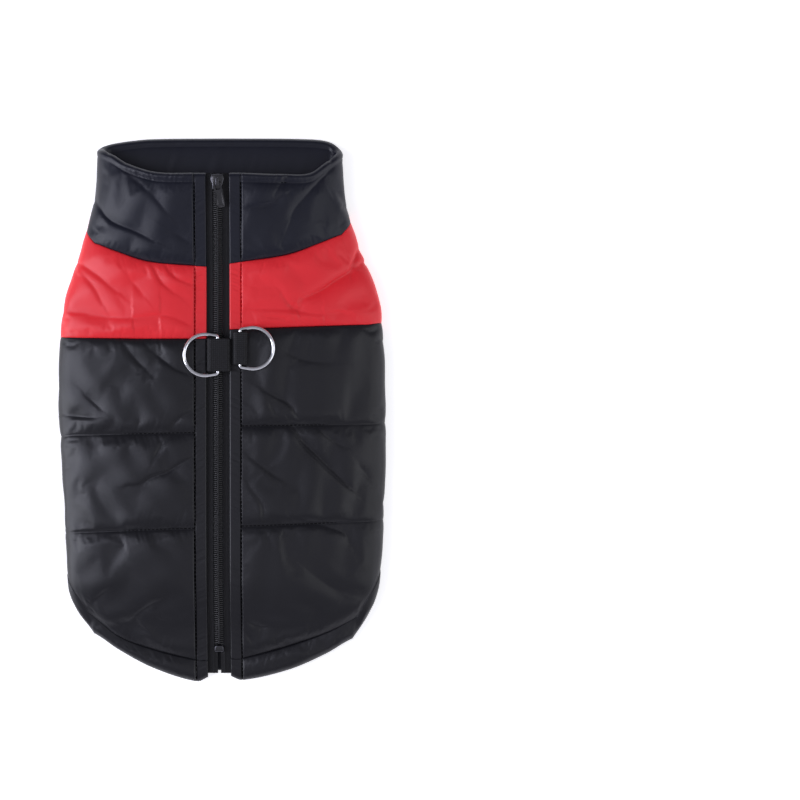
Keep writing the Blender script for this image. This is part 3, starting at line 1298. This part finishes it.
# %% Rows on the navy collar, the red yoke and the black cloth
collar_rows, red_rows, black_rows = [], [], []
for side in (LEFT, RIGHT):
    rim, neck, yoke_end, hem_end = (float(line_y(line, side, PLACKET_C)) for line in
                                    (COLLAR_STITCH, NECK_SEAM, YOKE_SEAM, HEM_RIM))
    collar_rows += row_across(COLLAR_STITCH, side, 0.13, 4)
    collar_rows += row_down(side, rim, neck + 1)
    red_rows += row_down(side, neck - 1, yoke_end + 1)
    black_rows += row_down(side, yoke_end - 1, hem_end + 1.5)
    for line in (UPPER_QUILT, LOWER_QUILT):
        black_rows += row_across(line, side, 0.1, 1.9)
copies("stitches_collar", stitch, collar_rows, THREAD_BLACK, "navy_nylon")
copies("stitches_yoke", stitch, red_rows, THREAD_RED, "red_nylon")
copies("stitches_body", stitch, black_rows, THREAD_BLACK, "black_nylon")
print("stitches:", len(collar_rows) + len(red_rows) + len(black_rows))


# %% [markdown]
# ## Floor, light and camera
# The photograph is a product shot from straight above on pure white. The red is equally bright
# all over, but the shine of the black falls off from left to right. So the key light stands
# halfway up on the left, where the slope of the left edge mirrors it into the lens, with a low
# light behind it and a weaker one on the right that fills in. The studio round the coat is
# bright at the horizon, darkest about halfway up, and a little brighter again overhead. It
# gives more light from the hem's side than from the collar's.

# %% Floor
bpy.ops.object.select_all(action="DESELECT")
bpy.ops.mesh.primitive_plane_add(size=12, location=(0, 0, 0))
floor = bpy.context.object
floor.name = "studio_floor"
FLOOR_WHITE = new_material("matt_white_paper", "#FFFFFF", 0.9, Specular_IOR_Level=0.0,
                           Emission_Color=(1, 1, 1, 1), Emission_Strength=0.55)[0]
floor.data.materials.append(FLOOR_WHITE)

# %% Lights
scene = bpy.context.scene
scene.view_settings.view_transform = "Standard"
world = bpy.data.worlds.new("pale_studio")
scene.world = world
world.use_nodes = True
tree = world.node_tree
# How bright the studio is, by the height of the direction: 0 is the horizon, 1 is overhead.
SHADES = ((0.0, 1.0), (1.0, 0.5), (0.17, 0.9), (0.5, 0.24), (0.7, 0.16), (0.87, 0.34),
          (0.95, 0.48))
LEAN = (0.1, -0.5, 0)  # towards where the studio is brighter
towards = add_node(tree, "TexCoord")
height = add_node(tree, "SeparateXYZ", {0: towards.outputs["Generated"]})
studio = add_node(tree, "ValToRGB", {0: height.outputs["Z"]})
lean = add_node(tree, "VectorMath", {0: towards.outputs["Generated"], 1: LEAN},
                operation="DOT_PRODUCT")
level = add_node(tree, "Math", {0: lean.outputs["Value"], 1: 1.0}, operation="ADD")
bands = studio.color_ramp.elements
for place, shade in SHADES:
    band = bands[int(place)] if place in (0, 1) else bands.new(place)
    band.color = (shade * 0.89, shade * 0.885, shade, 1)
tree.links.new(studio.outputs[0], tree.nodes["Background"].inputs["Color"])
tree.links.new(level.outputs[0], tree.nodes["Background"].inputs["Strength"])


def softbox(name, place, size, watts, tint):
    """A soft light that looks at the middle of the coat."""
    data = bpy.data.lights.new(name, "AREA")
    data.shape, data.size, data.size_y = "RECTANGLE", size[0], size[1]
    data.energy, data.color = watts, tint
    light = bpy.data.objects.new(name, data)
    bpy.context.collection.objects.link(light)
    light.location = place
    light.rotation_euler = (-Vector(place)).to_track_quat("-Z", "Y").to_euler()


softbox("key_left", (-1.2, 0.06, 1.4), (0.6, 1.2), 10, (0.82, 0.83, 1.0))
softbox("low_left", (-1.8, -0.2, 0.65), (1.0, 2.0), 26, (0.88, 0.9, 1.0))
softbox("fill_right", (1.5, -0.2, 1.2), (1.5, 2.0), 10.5, (0.96, 0.97, 1.0))

# %% Camera
bpy.ops.object.camera_add(location=(0.12816, 0.00756, 2.172), rotation=(0, 0, 0))
camera = bpy.context.object
camera.data.lens, camera.data.sensor_width = 135, 36
camera.data.clip_end = 20
scene.camera = camera
print("camera sees", round(36 / 135 * (camera.location.z - 0.012) * 1000), "mm across")
